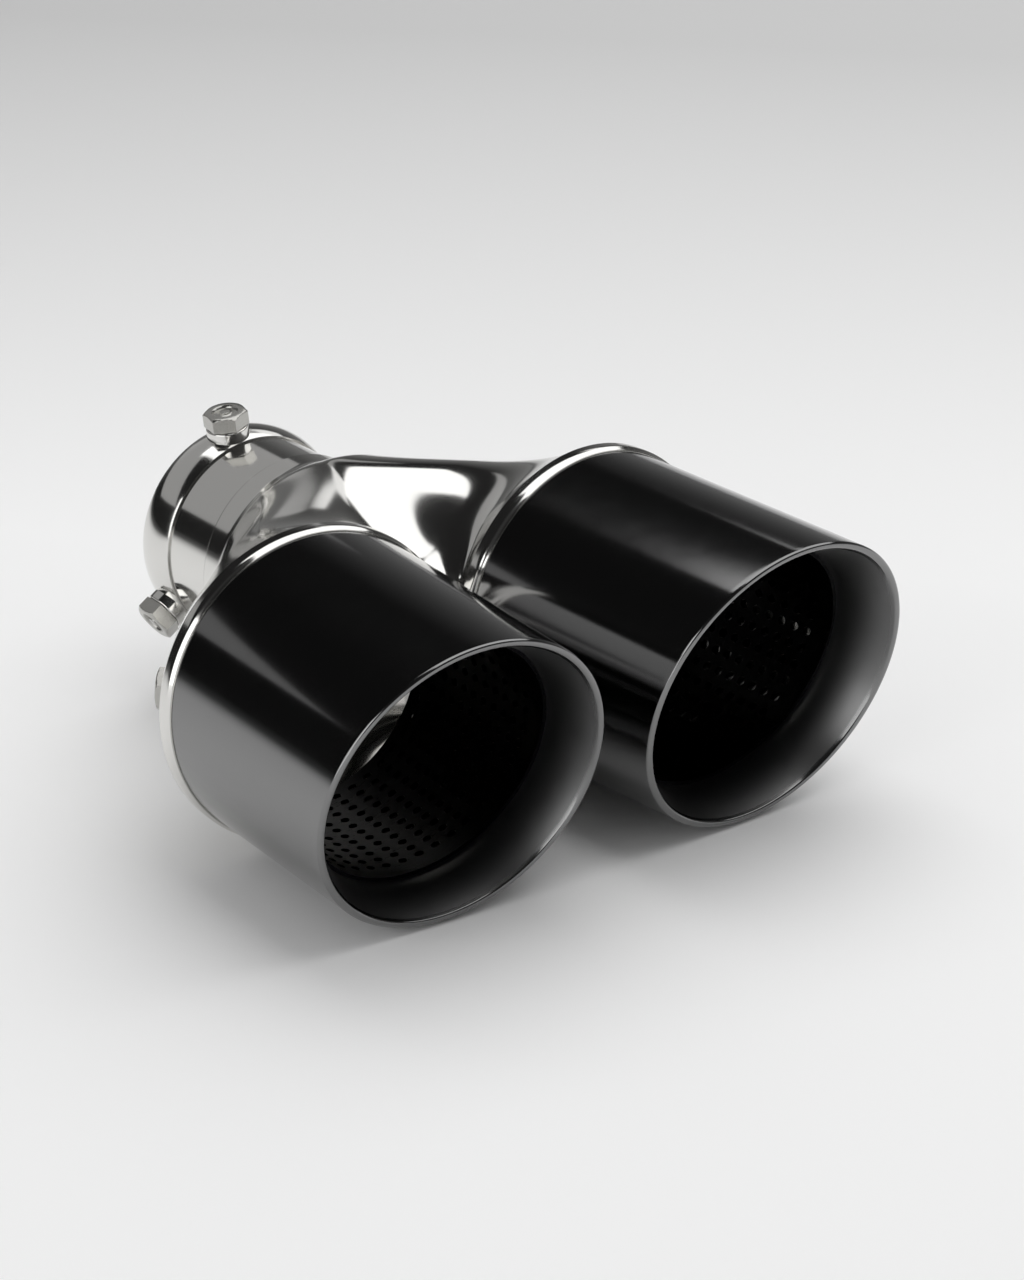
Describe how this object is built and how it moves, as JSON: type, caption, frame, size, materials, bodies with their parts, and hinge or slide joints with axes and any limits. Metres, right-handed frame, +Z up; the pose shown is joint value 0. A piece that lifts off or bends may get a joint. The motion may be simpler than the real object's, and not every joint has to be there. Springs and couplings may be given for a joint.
{
  "type": "exhaust tip",
  "caption": "Twin slant-cut exhaust tip: a polished Y body with a clamp inlet, and round black tips with rolled lips and perforated inner tubes.",
  "frame": {"origin": "centre of the inlet mouth, on the inlet's axis", "axes": "+Y leaves the inlet towards the car's pipe, the tips point along -Y, +Z is up and +X is to the right seen from the tips"},
  "size_m": [0.2214, 0.2248, 0.104],
  "materials": {
    "polished_steel": "stainless steel polished to a mirror",
    "black_chrome": "gloss black chrome",
    "inner_steel": "dark satin steel",
    "screw_steel": "plain machined stainless steel",
    "weld_steel": "polished weld bead"
  },
  "bodies": {
    "root": {"inlet_sleeve": "polished_steel", "clamp_ring": "polished_steel", "clamp_bosses": "polished_steel", "clamp_screws": "screw_steel", "body_left_half": "polished_steel", "body_right_half": "polished_steel", "inlet_weld": "weld_steel", "left_outer_shell": "black_chrome", "left_inner_tube": "inner_steel", "left_closing_ring": "inner_steel", "left_collar_weld": "weld_steel", "left_side_boss": "polished_steel", "left_side_screw": "screw_steel", "right_outer_shell": "black_chrome", "right_inner_tube": "inner_steel", "right_closing_ring": "inner_steel", "right_collar_weld": "weld_steel", "right_side_boss": "polished_steel", "right_side_screw": "screw_steel"}
  },
  "joints": []
}
